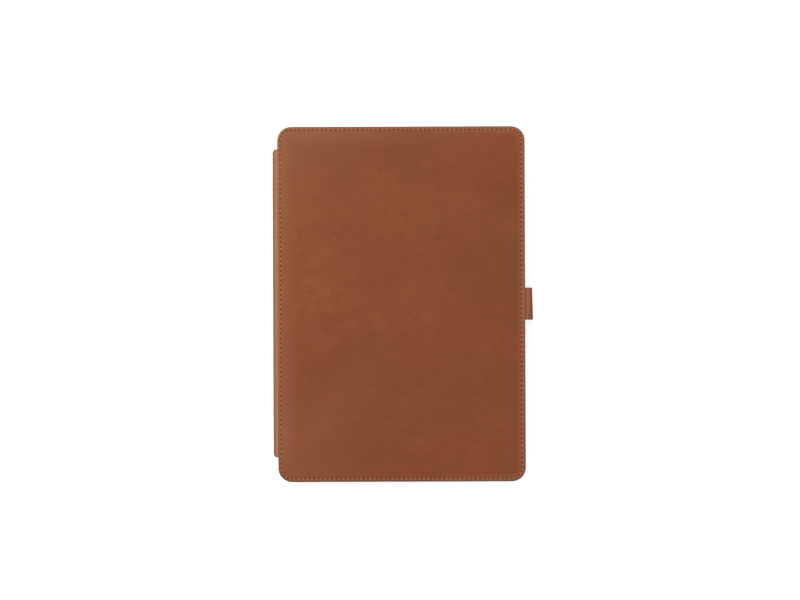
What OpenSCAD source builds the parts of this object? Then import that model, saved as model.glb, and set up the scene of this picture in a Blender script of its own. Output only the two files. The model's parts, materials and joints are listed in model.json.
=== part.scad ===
// Tablet-sized e-reader in a leather folio: the reader, the tray that grips it,
// two stiffened leather covers, a leather spine strip and a magnetic closure tab.
// The folio lies on its back cover. +X points to the closure tab, +Y to the top
// of the page, +Z out of the front cover, and the origin is the centre of the
// resting face of the back cover.

/* [Reader] */
// Width of the reader's body
reader_w = 171.5; // [150:0.5:210]
// Height of the reader's body
reader_h = 248.5; // [215:0.5:300]
// Thickness of the reader's body
reader_t = 7.7; // [7.5:0.1:10]
// Corner radius of the reader's body
reader_r = 7.5; // [5:0.5:10]
// Chamfer around the reader's front edge
face_chamfer = 1.2; // [0.8:0.1:1.4]
// Thickness of the rear shell's floor
shell_floor = 1.2; // [1:0.1:1.4]
// Thickness of the rear shell's and bezel's side walls
shell_wall = 1.4; // [1.2:0.1:2]
// Height of the bezel from the parting line to the front face
bezel_depth = 1.5; // [1.4:0.1:1.8]
// Thickness of the bezel's front wall
bezel_front = 0.7; // [0.6:0.05:0.8]
// Bezel width at the left and right of the screen window
border_side = 6.5; // [5:0.5:12]
// Bezel width above the screen window
border_top = 10.5; // [9:0.5:16]
// Bezel width below the screen window, where the keys are
border_bottom = 27.5; // [26:0.5:40]

/* [Screen stack] */
// Overlap of the touch glass behind the bezel
glass_lap = 4; // [3:0.5:4.5]
// Thickness of the touch glass
glass_t = 0.65; // [0.5:0.05:0.8]
// Thickness of the foam gasket in front of the touch glass
gasket_t = 0.1; // [0.1:0.05:0.2]
// Thickness of the front light's guide
guide_t = 0.45; // [0.4:0.05:0.5]
// Overlap of the electronic paper behind the bezel
paper_lap = 3; // [2:0.5:3.5]
// Thickness of the electronic paper display
paper_t = 0.7; // [0.6:0.05:0.8]
// Thickness of the metal midframe
midframe_t = 0.8; // [0.6:0.1:0.9]
// Air between the layers of the screen stack
layer_gap = 0.05; // [0.02:0.01:0.08]

/* [Electronics] */
// Width of the main board
board_w = 120; // [110:1:132]
// Height of the main board
board_h = 44; // [40:1:55]
// Thickness of the circuit boards
pcb_t = 0.8; // [0.6:0.1:0.9]
// Height of the posts under the main board
post_h = 0.6; // [0.5:0.1:0.8]
// Width of the battery
battery_w = 92; // [60:1:100]
// Height of the battery
battery_h = 108; // [70:1:112]
// Swelling room in front of the battery
battery_room = 0.15; // [0.1:0.05:0.3]
// Radius of the midframe screws' shanks
screw_r = 0.7; // [0.6:0.05:0.9]
// Radial clearance around the screws
screw_fit = 0.06; // [0.04:0.01:0.1]

/* [Keys] */
// Length of a key under the screen
key_l = 18; // [12:1:22]
// Width of a key under the screen
key_w = 4.5; // [3.5:0.5:6]
// Distance between the keys' centres
key_pitch = 30; // [25:1:32]
// Height of the keys above the bezel
key_proud = 0.15; // [0.1:0.05:0.2]
// Travel of the keys
key_travel = 0.25; // [0.2:0.05:0.25]
// Clearance around the keys and the power button
key_fit = 0.15; // [0.1:0.05:0.3]
// Length of the power button
button_l = 10; // [6:1:14]
// Height of the power button
button_h = 2; // [1.6:0.1:2.2]
// Distance that the power button stands out of the top edge
button_proud = 0.5; // [0.4:0.1:0.8]
// Travel of the power button
button_travel = 0.3; // [0.2:0.05:0.35]

/* [Charging socket] */
// Width of the charging socket's metal shell
socket_w = 8.94; // [8.9:0.02:9]
// Height of the charging socket's metal shell
socket_h = 3.26; // [3.2:0.02:3.3]
// Depth of the charging socket
socket_d = 7.3; // [6.5:0.1:8]
// Wall of the charging socket's metal shell
socket_wall = 0.3; // [0.2:0.05:0.35]
// Width of the notch for a plug in the tray's wall
plug_w = 14; // [13:0.5:18]
// Depth of the notch below the socket's centre line
plug_drop = 3.2; // [2.8:0.1:3.3]
// Corner radius of the notch for a plug
plug_r = 1.5; // [1:0.1:2.5]

/* [Tray] */
// Wall thickness of the tray
tray_wall = 1.3; // [1:0.1:1.8]
// Floor thickness of the tray
tray_floor = 1.2; // [1:0.1:1.6]
// Clearance between the reader's sides and the tray
tray_gap = 0.25; // [0.15:0.05:0.4]
// Clearance between the reader's back and the tray's floor
slide_gap = 0.1; // [0.05:0.05:0.2]
// Reach of the lips over the reader's chamfer
lip = 1; // [0.7:0.1:1.05]

/* [Covers] */
// Overhang of the covers past the tray
cover_overhang = 1.2; // [0.6:0.1:3]
// Corner radius of the covers
cover_r = 10; // [7:0.5:14]
// Thickness of the cover leather
leather_t = 1.2; // [0.9:0.1:1.6]
// Thickness of the stiffening boards
board_t = 1; // [0.9:0.1:1.4]
// Thickness of the microfibre lining
lining_t = 0.5; // [0.3:0.1:0.8]
// Width of the leather turned over the boards' edges
turn_t = 1; // [0.8:0.1:1.5]
// Gap between the reader's face and the lining
cover_gap = 0.3; // [0.25:0.05:0.6]
// Radius of the magnet that wakes and sleeps the reader
magnet_r = 4; // [3:0.5:6]

/* [Spine] */
// Distance from the covers' ends to the ends of the spine strip
spine_set_back = 17; // [11:1:40]
// Distance that the spine stands out past the covers' edges
spine_bulge = 3.4; // [3:0.1:5]
// Thickness of the spine leather
spine_t = 1; // [0.8:0.1:1]
// Thickness of the spine's inner lining
spine_lining_t = 0.3; // [0.2:0.1:0.5]
// Width of the spine strip bonded inside each cover
flange_w = 10; // [6:1:14]
// Distance from a cover's edge to its hinge line
hinge_gap = 0.8; // [0.75:0.05:1.2]

/* [Closure] */
// Width of the closure tab along the cover's edge
tab_w = 23; // [18:1:30]
// Distance that the tab stands out past the cover's edge
tab_reach = 5.1; // [4.8:0.1:7]
// Thickness of the tab's leather
tab_t = 1; // [0.8:0.1:1]
// Thickness of the magnet in the tab
tab_magnet_t = 1.2; // [0.8:0.1:1.4]
// Gap between the hanging tab and the tray's keeper
tab_gap = 0.4; // [0.35:0.05:0.6]
// Width of the keeper pad along the tray
keeper_w = 18; // [14:1:18]

/* [Hidden] */

// Facets of the true circles, and of the circles inside a hull
round_fn = 64;
hull_fn = 32;
// Length by which a cutter runs past the face that it cuts
past = 1;

// Covers and tray, worked out from the reader
tray_w = reader_w + 2 * (tray_gap + tray_wall);
tray_h = reader_h + 2 * (tray_gap + tray_wall);
tray_r = reader_r + tray_gap + tray_wall;
cover_w = tray_w + 2 * cover_overhang;
cover_h = tray_h + 2 * cover_overhang;
spine_len = cover_h - 2 * spine_set_back;

// Heights of the layers, from the resting face up
z_tray = leather_t + board_t;
z_seat = z_tray + tray_floor;
z_back = z_seat + slide_gap;
z_face = z_back + reader_t;
z_lining = z_face + cover_gap;
z_board = z_lining + lining_t;
z_skin = z_board + board_t;
z_top = z_skin + leather_t;

// Hinge lines: spine to back cover, spine to front cover, tab to front cover
hinge_x = -cover_w / 2 - hinge_gap;
hinge_z_back = leather_t + board_t / 2;
hinge_z_front = z_board + board_t / 2;
tab_hinge_x = cover_w / 2 + hinge_gap;
// Distance from a hinge line to the strip that leaves it
strip_start = 0.4;
// Outer radius where the spine strip turns into the covers
spine_r = 2.2;
// Clearance around a strip bonded inside a cover
bond_gap = 0.3;
// Depth of the part of the tab that is sewn into the front cover
anchor_w = 10;

// Closure tab and keeper
tab_out = cover_w / 2 + tab_reach;
flap_t = 2 * tab_t + tab_magnet_t;
flap_in = tab_out - flap_t;
flap_z = z_tray + 0.4;
keeper_face = flap_in - tab_gap;
keeper_t = 1;
keeper_h = 6;
keeper_z = z_back + reader_t / 2 - 0.3;
tab_magnet_w = 14;
tab_magnet_h = 6;
tab_edge_r = 1.5;

// Heights inside the reader
z_in = z_back + shell_floor;
z_part = z_face - bezel_depth;
z_glass_top = z_face - bezel_front - gasket_t;
z_glass = z_glass_top - glass_t;
z_guide = z_glass - layer_gap - guide_t;
z_paper = z_guide - layer_gap - paper_t;
z_mid_top = z_paper - 2 * layer_gap;
z_mid = z_mid_top - midframe_t;
z_pcb = z_in + post_h;
z_pcb_top = z_pcb + pcb_t;
tape_t = 0.15;
z_battery = z_in + tape_t;

// The screen window
window_w = reader_w - 2 * border_side;
window_h = reader_h - border_top - border_bottom;
window_y = (border_bottom - border_top) / 2;
window_r = 1;

// Plan layout inside the reader
inner_w = reader_w - 2 * shell_wall;
inner_h = reader_h - 2 * shell_wall;
top_y = reader_h / 2;
pcb_y = top_y - 7.2 - board_h / 2;
pcb_top_y = pcb_y + board_h / 2;
battery_y = -top_y + 24 + battery_h / 2;
mid_gap = 0.3;
mid_top_y = top_y - 5.7;
mid_low_y = -inner_h / 2 + mid_gap;
key_y = -top_y + border_bottom / 2 - 0.3;
key_xs = [-1.5, -0.5, 0.5, 1.5] * key_pitch;

// Screws and their bosses
boss_r = 2.2;
head_r = 1.5;
head_h = 0.4;
boss_xs = [-1, 1] * (reader_w / 2 - 8);
boss_ys = [-top_y + 8, 0, top_y - 12.5];
board_post_r = 1.8;
board_head_r = 1.4;
board_head_h = 0.5;
board_post_xs = [-1, 1] * (board_w / 2 - 4);
board_post_ys = [pcb_y - board_h / 2 + 4, pcb_top_y - 4];
usb_board_w = 30;
usb_board_h = 16;
usb_board_y = -inner_h / 2 + 0.8 + usb_board_h / 2;
usb_post_xs = [-1, 1] * (usb_board_w / 2 - 3.5);
usb_post_y = usb_board_y + 4;

// Magnet in the front cover, over the Hall sensor on the main board
magnet_x = board_w / 2 - 8;
magnet_y = pcb_y;

// Charging socket, half-way up the reader
socket_z = z_back + reader_t / 2;
z_usb_pcb = socket_z - socket_h / 2 - pcb_t;
socket_fit = 0.15;
socket_set_back = 0.05;

// Power button, its switch and the light beside it
button_x = 43;
switch_w = 6;
switch_d = 3.6;
switch_h = 1.4;
button_z = z_pcb_top + switch_h / 2;
button_flange_t = 0.85;
button_flange_over = 0.8;
nub_reach = 0.6;
light_x = 50;
light_r = 0.6;
light_fit = 0.06;

// Keys
key_flange_over = 1;
key_flange_t = 0.5;
key_flange_gap = 0.05;
z_key_flange = z_face - bezel_front - key_flange_gap - key_flange_t;
plunger_r = 1.5;
dome_r = 2;
dome_h = 0.3;
z_dome_top = z_mid_top + pcb_t + dome_h;

module round_rect(w, h, r, fn = round_fn) {
    square([w - 2 * r, h], center = true);
    square([w, h - 2 * r], center = true);
    for (x = [-1, 1], y = [-1, 1])
        translate([x * (w / 2 - r), y * (h / 2 - r)])
            circle(r = r, $fn = fn);
}

module slab(w, h, r, z0, z1, fn = round_fn) {
    translate([0, 0, z0])
        linear_extrude(z1 - z0)
            round_rect(w, h, r, fn);
}

module box(x0, x1, y0, y1, z0, z1) {
    translate([x0, y0, z0])
        cube([x1 - x0, y1 - y0, z1 - z0]);
}

// Extrudes an outline drawn in X and Z along Y, over a length centred on y
module along_y(len, y = 0) {
    translate([0, y + len / 2, 0])
        rotate([90, 0, 0])
            linear_extrude(len)
                children();
}

// Extrudes an outline drawn in Y and Z along X, over a length centred on x
module along_x(len, x = 0) {
    translate([x - len / 2, 0, 0])
        rotate([90, 0, 90])
            linear_extrude(len)
                children();
}

// ---- Folio covers ----

// Leather sheet with its edge turned over the board, lying face down on z = 0
module cover_skin() {
    difference() {
        slab(cover_w, cover_h, cover_r, 0, z_tray);
        slab(cover_w - 2 * turn_t, cover_h - 2 * turn_t, cover_r - turn_t, leather_t, z_tray + past);
        box(-cover_w / 2 - past, -cover_w / 2 + turn_t + past, -spine_len / 2 - bond_gap,
            spine_len / 2 + bond_gap, leather_t, z_tray + past);
    }
}

// Board inside the turned edge, cut back where the spine strip is bonded
module cover_board() {
    gap = 0.1;
    difference() {
        slab(cover_w - 2 * turn_t - 2 * gap, cover_h - 2 * turn_t - 2 * gap,
             cover_r - turn_t - gap, leather_t, z_tray);
        box(-cover_w / 2 - past, -cover_w / 2 + flange_w + bond_gap, -spine_len / 2 - bond_gap,
            spine_len / 2 + bond_gap, leather_t - past, z_tray + past);
    }
}

// Turns a cover made face down over into the front cover's place
module as_front() {
    translate([0, 0, z_top])
        mirror([0, 0, 1])
            children();
}

module back_cover_leather() {
    color("#8c5033")
        cover_skin();
}

module back_cover_board() {
    color("#b8a888")
        cover_board();
}

module front_cover_leather() {
    color("#8c5033")
        difference() {
            as_front()
                cover_skin();
            box(cover_w / 2 - turn_t - past, cover_w / 2 + past, -tab_w / 2 - bond_gap,
                tab_w / 2 + bond_gap, z_board - past, z_skin);
        }
}

module front_cover_board() {
    color("#b8a888")
        difference() {
            as_front()
                cover_board();
            box(cover_w / 2 - anchor_w - bond_gap, cover_w / 2 + past, -tab_w / 2 - bond_gap,
                tab_w / 2 + bond_gap, z_board - past, z_skin + past);
            translate([magnet_x, magnet_y, z_board - past])
                cylinder(r = magnet_r + 0.1, h = board_t + 2 * past, $fn = round_fn);
        }
}

module front_cover_lining() {
    edge = 1.5;
    color("#5a4636")
        slab(cover_w - 2 * edge, cover_h - 2 * edge, cover_r - edge, z_lining, z_board);
}

module sleep_magnet() {
    color("silver")
        translate([magnet_x, magnet_y, z_board])
            cylinder(r = magnet_r, h = board_t - 0.1, $fn = round_fn);
}

// ---- Spine ----

// Outline of the spine strip at one depth below its outer face
module spine_outline(depth) {
    low = hinge_z_back - spine_t / 2 + depth;
    high = hinge_z_front + spine_t / 2 - depth;
    out = -cover_w / 2 - spine_bulge + depth;
    wide = 4 * spine_r;
    translate([out + wide / 2, (low + high) / 2])
        round_rect(wide, high - low, spine_r - depth);
}

module spine_layer(depth, t) {
    along_y(spine_len)
        difference() {
            spine_outline(depth);
            spine_outline(depth + t);
            translate([hinge_x - strip_start, 0])
                square([8 * spine_r, z_top]);
        }
}

module spine_leather() {
    color("#a06b50")
        spine_layer(0, spine_t);
}

module spine_lining() {
    color("#5a4636")
        spine_layer(spine_t, spine_lining_t);
}

module spine_flange(z) {
    box(-cover_w / 2, -cover_w / 2 + flange_w, -spine_len / 2, spine_len / 2,
        z - spine_t / 2, z + spine_t / 2);
}

module spine_back_flange() {
    color("#a06b50")
        spine_flange(hinge_z_back);
}

module spine_front_flange() {
    color("#a06b50")
        spine_flange(hinge_z_front);
}

// ---- Closure ----

module tab_anchor() {
    color("#8c5033")
        box(cover_w / 2 - anchor_w, cover_w / 2, -tab_w / 2, tab_w / 2,
            hinge_z_front - tab_t / 2, hinge_z_front + tab_t / 2);
}

module tab_outline() {
    top = hinge_z_front + tab_t / 2;
    thick = tab_t + tab_magnet_t;
    difference() {
        translate([tab_out - 2 * thick, (top + flap_z) / 2])
            round_rect(4 * thick, top - flap_z, tab_edge_r);
        translate([tab_out - 6 * thick - thick, flap_z - past])
            square([6 * thick, top - tab_t - flap_z + past]);
        translate([tab_hinge_x + strip_start - 8 * thick, flap_z])
            square([8 * thick, z_top]);
    }
}

module closure_tab() {
    fit = 0.1;
    color("#8c5033")
        difference() {
            along_y(tab_w)
                tab_outline();
            box(flap_in + tab_t - past, flap_in + tab_t + tab_magnet_t, -tab_magnet_w / 2 - fit,
                tab_magnet_w / 2 + fit, keeper_z - tab_magnet_h / 2 - fit,
                keeper_z + tab_magnet_h / 2 + fit);
        }
}

module tab_lining() {
    top = hinge_z_front - tab_t / 2;
    color("#5a4636")
        along_x(tab_t, flap_in + tab_t / 2)
            translate([0, (top + flap_z) / 2 + 0.3])
                round_rect(tab_w, top - flap_z - 0.6, tab_edge_r);
}

module tab_magnet() {
    gap = 0.05;
    color("silver")
        box(flap_in + tab_t + gap, flap_in + tab_t + tab_magnet_t - gap, -tab_magnet_w / 2,
            tab_magnet_w / 2, keeper_z - tab_magnet_h / 2, keeper_z + tab_magnet_h / 2);
}

// ---- Tray ----

// Lip whose sloping face follows the reader's chamfer, for a wall face at x = 0
module lip_outline() {
    root = 0.3;
    polygon([[-lip, z_face], [root, z_face], [root, z_face - lip - root]]);
}

// Notch in the tray's end wall, open at the top, that a plug goes through
module plug_notch() {
    z_low = socket_z - plug_drop;
    high = 2 * (z_face + past - z_low);
    translate([0, -tray_h / 2, z_low + high / 2])
        along_y(8 * tray_wall)
            round_rect(plug_w, high, plug_r);
}

module tray_lips(cavity_w, cavity_h) {
    side_lip = tray_h - 2 * tray_r;
    end_lip = tray_w - 2 * tray_r;
    translate([cavity_w / 2, 0, 0])
        along_y(side_lip)
            lip_outline();
    translate([-cavity_w / 2, 0, 0])
        mirror([1, 0, 0])
            along_y(side_lip)
                lip_outline();
    translate([0, -cavity_h / 2, 0])
        mirror([0, 1, 0])
            along_x(end_lip)
                lip_outline();
}

module reader_tray() {
    cavity_w = reader_w + 2 * tray_gap;
    cavity_h = reader_h + 2 * tray_gap;
    pad_top = z_face - 0.2;
    fit = 0.05;
    color("#3a2f28")
        difference() {
            union() {
                difference() {
                    union() {
                        slab(tray_w, tray_h, tray_r, z_tray, z_face);
                        box(0, keeper_face, -keeper_w / 2, keeper_w / 2, z_tray + 1, pad_top);
                    }
                    slab(cavity_w, cavity_h, reader_r + tray_gap, z_seat, z_face + past);
                    box(-cavity_w / 2, cavity_w / 2, 0, tray_h, z_seat, z_face + past);
                }
                tray_lips(cavity_w, cavity_h);
            }
            plug_notch();
            box(keeper_face - keeper_t, keeper_face + past, -keeper_w / 2 + 1 - fit,
                keeper_w / 2 - 1 + fit, keeper_z - keeper_h / 2 - fit, keeper_z + keeper_h / 2 + fit);
        }
}

module closure_keeper() {
    color("gray")
        box(keeper_face - keeper_t, keeper_face, -keeper_w / 2 + 1, keeper_w / 2 - 1,
            keeper_z - keeper_h / 2, keeper_z + keeper_h / 2);
}

// ---- Reader body ----

module boss_places() {
    for (x = boss_xs, y = boss_ys)
        translate([x, y, 0])
            children();
}

module board_post_places() {
    for (x = board_post_xs, y = board_post_ys)
        translate([x, y, 0])
            children();
}

module usb_post_places() {
    for (x = usb_post_xs)
        translate([x, usb_post_y, 0])
            children();
}

module post(r, z) {
    translate([0, 0, z_in - 0.2])
        cylinder(r = r, h = z - z_in + 0.2, $fn = round_fn);
}

module screw_bore(z0, z1) {
    translate([0, 0, z0])
        cylinder(r = screw_r + screw_fit, h = z1 - z0, $fn = round_fn);
}

module screw(z_tip, z_seat, r, h) {
    translate([0, 0, z_tip])
        cylinder(r = screw_r, h = z_seat - z_tip + h / 2, $fn = round_fn);
    translate([0, 0, z_seat])
        cylinder(r = r, h = h, $fn = round_fn);
}

screw_end = z_in - 0.4;

module rear_shell() {
    color("#33343a")
        difference() {
            union() {
                difference() {
                    slab(reader_w, reader_h, reader_r, z_back, z_part);
                    slab(inner_w, inner_h, reader_r - shell_wall, z_in, z_part + past);
                }
                boss_places()
                    post(boss_r, z_mid);
                board_post_places()
                    post(board_post_r, z_pcb);
                usb_post_places()
                    post(board_post_r, z_usb_pcb);
            }
            boss_places()
                screw_bore(screw_end, z_mid + past);
            board_post_places()
                screw_bore(screw_end, z_pcb + past);
            usb_post_places()
                screw_bore(screw_end, z_usb_pcb + past);
            translate([0, -top_y, socket_z])
                along_y(4 * shell_wall)
                    round_rect(socket_w + 2 * socket_fit, socket_h + 2 * socket_fit,
                               socket_h / 2 + socket_fit - 0.05);
            translate([button_x, top_y, button_z])
                along_y(4 * shell_wall)
                    round_rect(button_l + 2 * key_fit, button_h + 2 * key_fit, button_h / 2 - 0.1);
            translate([light_x + button_l / 2, top_y - 2 * shell_wall, button_z])
                rotate([-90, 0, 0])
                    cylinder(r = light_r + light_fit, h = 4 * shell_wall, $fn = round_fn);
        }
}

module front_bezel() {
    c = face_chamfer;
    color("#2b2c30")
        difference() {
            hull() {
                slab(reader_w, reader_h, reader_r, z_part, z_face - c, hull_fn);
                slab(reader_w - 2 * c, reader_h - 2 * c, reader_r - c, z_part, z_face, hull_fn);
            }
            slab(inner_w, inner_h, reader_r - shell_wall, z_part - past, z_face - bezel_front);
            translate([0, window_y, 0])
                slab(window_w, window_h, window_r, z_part, z_face + past);
            for (x = key_xs)
                translate([x, key_y, 0])
                    slab(key_l + 2 * key_fit, key_w + 2 * key_fit, key_w / 2, z_part, z_face + past);
        }
}

module midframe() {
    high = mid_top_y - mid_low_y;
    notch = socket_w / 2 + 2;
    color("#8d9096")
        difference() {
            translate([0, (mid_top_y + mid_low_y) / 2, 0])
                slab(inner_w - 2 * mid_gap, high, reader_r - shell_wall - mid_gap, z_mid, z_mid_top);
            box(-notch, notch, mid_low_y - past, -top_y + socket_d + 1, z_mid - past, z_mid_top + past);
            boss_places()
                screw_bore(z_mid - past, z_mid_top);
            boss_places()
                translate([0, 0, z_mid_top - head_h - 0.05])
                    cylinder(r = head_r + 0.1, h = past, $fn = round_fn);
        }
}

module midframe_screws() {
    seat = z_mid_top - head_h - 0.05;
    color("silver")
        boss_places()
            screw(screw_end + 0.3, seat, head_r, head_h);
}

module board_screws() {
    color("silver") {
        board_post_places()
            screw(screw_end + 0.3, z_pcb_top, board_head_r, board_head_h);
        usb_post_places()
            screw(screw_end + 0.3, z_usb_pcb + pcb_t, board_head_r, board_head_h);
    }
}

// ---- Screen stack ----

module screen_layer(lap, z0, t) {
    translate([0, window_y, 0])
        slab(window_w + 2 * lap, window_h + 2 * lap, window_r + 0.5, z0, z0 + t);
}

module touch_gasket() {
    color("#202020")
        difference() {
            screen_layer(glass_lap, z_glass_top, gasket_t);
            translate([0, window_y, 0])
                slab(window_w + 1, window_h + 1, window_r + 0.4, z_glass_top - past, z_face);
        }
}

module touch_glass() {
    color("#a8aaa6")
        screen_layer(glass_lap, z_glass, glass_t);
}

light_bar_w = 3;

guide_lap = paper_lap - 0.5;

module light_guide() {
    color("#dfe3e6")
        screen_layer(guide_lap, z_guide, guide_t);
}

module light_bar() {
    top = window_y - window_h / 2 - guide_lap;
    color("#e8e4d0")
        box(-window_w / 2, window_w / 2, top - light_bar_w, top, z_guide, z_guide + guide_t);
}

module epaper_display() {
    color("#c9c9c3")
        screen_layer(paper_lap, z_paper, paper_t);
}

// ---- Cables ----

cable_t = 0.15;

// Flat cable from a screen layer, round the midframe's top edge to the main board
module turned_cable(x, w, y_from, z_from, y_turn, z_to, y_to) {
    color("#b5722a")
        along_x(w, x)
            polygon([
                [y_from, z_from],
                [y_turn, z_from],
                [y_turn, z_to],
                [y_to, z_to],
                [y_to, z_to + cable_t],
                [y_turn - cable_t, z_to + cable_t],
                [y_turn - cable_t, z_from - cable_t],
                [y_from, z_from - cable_t]
            ]);
}

module display_cable() {
    turned_cable(-20, 40, window_y + window_h / 2 + paper_lap, z_paper + paper_t / 2,
                 mid_top_y + 0.9, z_pcb_top, pcb_top_y - 6);
}

module touch_cable() {
    turned_cable(20, 16, window_y + window_h / 2 + glass_lap, z_glass + glass_t / 2,
                 mid_top_y + 2, z_pcb_top, pcb_top_y - 8);
}

lead_w = 5;
lead_t = 0.6;

module battery_lead() {
    y0 = battery_y + battery_h / 2;
    y1 = pcb_y - board_h / 2 + 5;
    color("#222222")
        along_x(lead_w, -12)
            polygon([
                [y0, z_pcb_top],
                [y1, z_pcb_top],
                [y1, z_pcb_top + lead_t],
                [y0, z_pcb_top + lead_t]
            ]);
}

link_w = 5;

module link_cable() {
    x0 = -battery_w / 2 - link_w - 1;
    y0 = usb_board_y + usb_board_h / 2 - 8;
    y1 = pcb_y - board_h / 2 + 6;
    color("#b5722a") {
        box(x0, x0 + link_w, y0, y1, z_in, z_in + cable_t);
        box(x0, -usb_board_w / 2 + 1, y0, y0 + link_w, z_in, z_in + cable_t);
        box(-usb_board_w / 2, -usb_board_w / 2 + 1, y0, y0 + link_w, z_in, z_usb_pcb);
        box(x0, x0 + link_w, y1 - link_w, y1, z_in, z_pcb);
    }
}

module antenna() {
    color("#b5722a")
        box(-inner_w / 2 + 2, -board_w / 2 - 3, pcb_y - 16, pcb_y + 12, z_in, z_in + cable_t);
}

// ---- Electronics ----

module main_board() {
    color("#1f5c3a")
        difference() {
            box(-board_w / 2, board_w / 2, pcb_y - board_h / 2, pcb_top_y, z_pcb, z_pcb_top);
            board_post_places()
                screw_bore(z_pcb - past, z_pcb_top + past);
        }
}

// A flat package on the main board, placed by its centre
module chip(x, y, w, h, t) {
    box(x - w / 2, x + w / 2, pcb_y + y - h / 2, pcb_y + y + h / 2, z_pcb_top, z_pcb_top + t);
}

module processor() {
    color("#1a1a1a")
        chip(-8, 3, 14, 14, 0.9);
}

module memory_chip() {
    color("#1a1a1a")
        chip(8, 3, 10, 12, 0.9);
}

module storage_chip() {
    color("#1a1a1a")
        chip(-27, 3, 11.5, 13, 0.9);
}

module power_chip() {
    color("#1a1a1a")
        chip(26, -6, 7, 7, 0.8);
}

module radio_shield() {
    color("silver")
        chip(-46, 4, 16, 18, 1.2);
}

module hall_sensor() {
    color("#1a1a1a")
        chip(magnet_x, 0, 3, 1.8, 0.9);
}

module battery() {
    color("#c4c7c9")
        box(-battery_w / 2, battery_w / 2, battery_y - battery_h / 2, battery_y + battery_h / 2,
            z_battery, z_mid - battery_room);
}

module battery_tape() {
    edge = 6;
    color("#e8e8e8")
        for (x = [-1, 1] * battery_w / 4)
            box(x - 8, x + 8, battery_y - battery_h / 2 + edge, battery_y + battery_h / 2 - edge,
                z_in, z_battery);
}

module usb_board() {
    color("#1f5c3a")
        difference() {
            box(-usb_board_w / 2, usb_board_w / 2, usb_board_y - usb_board_h / 2,
                usb_board_y + usb_board_h / 2, z_usb_pcb, z_usb_pcb + pcb_t);
            usb_post_places()
                screw_bore(z_usb_pcb - past, z_usb_pcb + pcb_t + past);
        }
}

module usb_socket() {
    front = -top_y + socket_set_back;
    mouth = socket_d - 1;
    tongue_w = 6.7;
    tongue_t = 0.7;
    color("#b8bcc0")
        difference() {
            translate([0, front + socket_d / 2, socket_z])
                along_y(socket_d)
                    round_rect(socket_w, socket_h, socket_h / 2 - 0.05);
            translate([0, front + mouth / 2 - past / 2, socket_z])
                along_y(mouth + past)
                    difference() {
                        round_rect(socket_w - 2 * socket_wall, socket_h - 2 * socket_wall,
                                   socket_h / 2 - socket_wall - 0.05);
                        square([tongue_w, tongue_t], center = true);
                    }
            box(-tongue_w / 2, tongue_w / 2, front - past, front + 1.2, socket_z - tongue_t / 2,
                socket_z + tongue_t / 2);
        }
}

// ---- Keys and button ----

module key_board() {
    edge = 4;
    half = 1.5 * key_pitch + edge;
    color("#1f5c3a")
        box(-half, half, key_y - 4, key_y + 4, z_mid_top, z_mid_top + pcb_t);
}

module key_domes() {
    color("#d8d8d8")
        for (x = key_xs)
            translate([x, key_y, z_dome_top - dome_h])
                cylinder(r = dome_r, h = dome_h, $fn = round_fn);
}

module key(i) {
    translate([key_xs[i], key_y, 0]) {
        slab(key_l, key_w, key_w / 2 - 0.05, z_key_flange, z_face + key_proud);
        slab(key_l + 2 * key_flange_over, key_w + 2 * key_flange_over, key_w / 2, z_key_flange,
             z_key_flange + key_flange_t);
        translate([0, 0, z_dome_top + key_travel + 0.03])
            cylinder(r = plunger_r, h = z_key_flange - z_dome_top - key_travel, $fn = round_fn);
    }
}

module menu_key() {
    color("#3c3d42")
        key(0);
}

module previous_key() {
    color("#3c3d42")
        key(1);
}

module next_key() {
    color("#3c3d42")
        key(2);
}

module home_key() {
    color("#3c3d42")
        key(3);
}

switch_front = pcb_top_y + 0.4;

module power_switch() {
    color("#d8d8d8") {
        box(button_x - switch_w / 2, button_x + switch_w / 2, switch_front - switch_d, switch_front,
            z_pcb_top, z_pcb_top + switch_h);
        box(button_x - 1.2, button_x + 1.2, switch_front - 0.2, switch_front + nub_reach,
            button_z - 0.4, button_z + 0.4);
    }
}

module power_button() {
    flange_y = inner_h / 2 - 0.1;
    stem_y = switch_front + nub_reach + button_travel + 0.1;
    bar_y = flange_y - 0.2;
    color("#3c3d42")
        translate([button_x, 0, button_z]) {
            along_y(top_y + button_proud - bar_y, (top_y + button_proud + bar_y) / 2)
                round_rect(button_l, button_h, button_h / 2 - 0.15);
            along_y(button_flange_t, flange_y - button_flange_t / 2)
                square([button_l + 2 * button_flange_over, button_h + button_flange_over], center = true);
            box(-2, 2, stem_y, flange_y - 0.2, -0.6, 0.6);
        }
}

module status_light() {
    start = pcb_top_y + 1.5;
    color("#f0f0f0")
        translate([light_x + button_l / 2, start, button_z])
            rotate([-90, 0, 0])
                cylinder(r = light_r, h = top_y - start, $fn = round_fn);
}

back_cover_leather();
back_cover_board();
reader_tray();
closure_keeper();
spine_back_flange();
spine_leather();
spine_lining();
spine_front_flange();
front_cover_leather();
front_cover_board();
front_cover_lining();
sleep_magnet();
tab_anchor();
closure_tab();
tab_lining();
tab_magnet();
rear_shell();
midframe();
front_bezel();
touch_gasket();
touch_glass();
light_guide();
light_bar();
epaper_display();
display_cable();
touch_cable();
main_board();
processor();
memory_chip();
storage_chip();
power_chip();
radio_shield();
hall_sensor();
battery();
battery_tape();
battery_lead();
link_cable();
antenna();
usb_board();
usb_socket();
midframe_screws();
board_screws();
key_board();
key_domes();
power_switch();
status_light();
power_button();
menu_key();
previous_key();
next_key();
home_key();
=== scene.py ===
"""A tablet-sized e-reader in a tan leather folio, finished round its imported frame."""

import json
import math

import bmesh
import bpy
from mathutils import Matrix, Vector, noise


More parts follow.
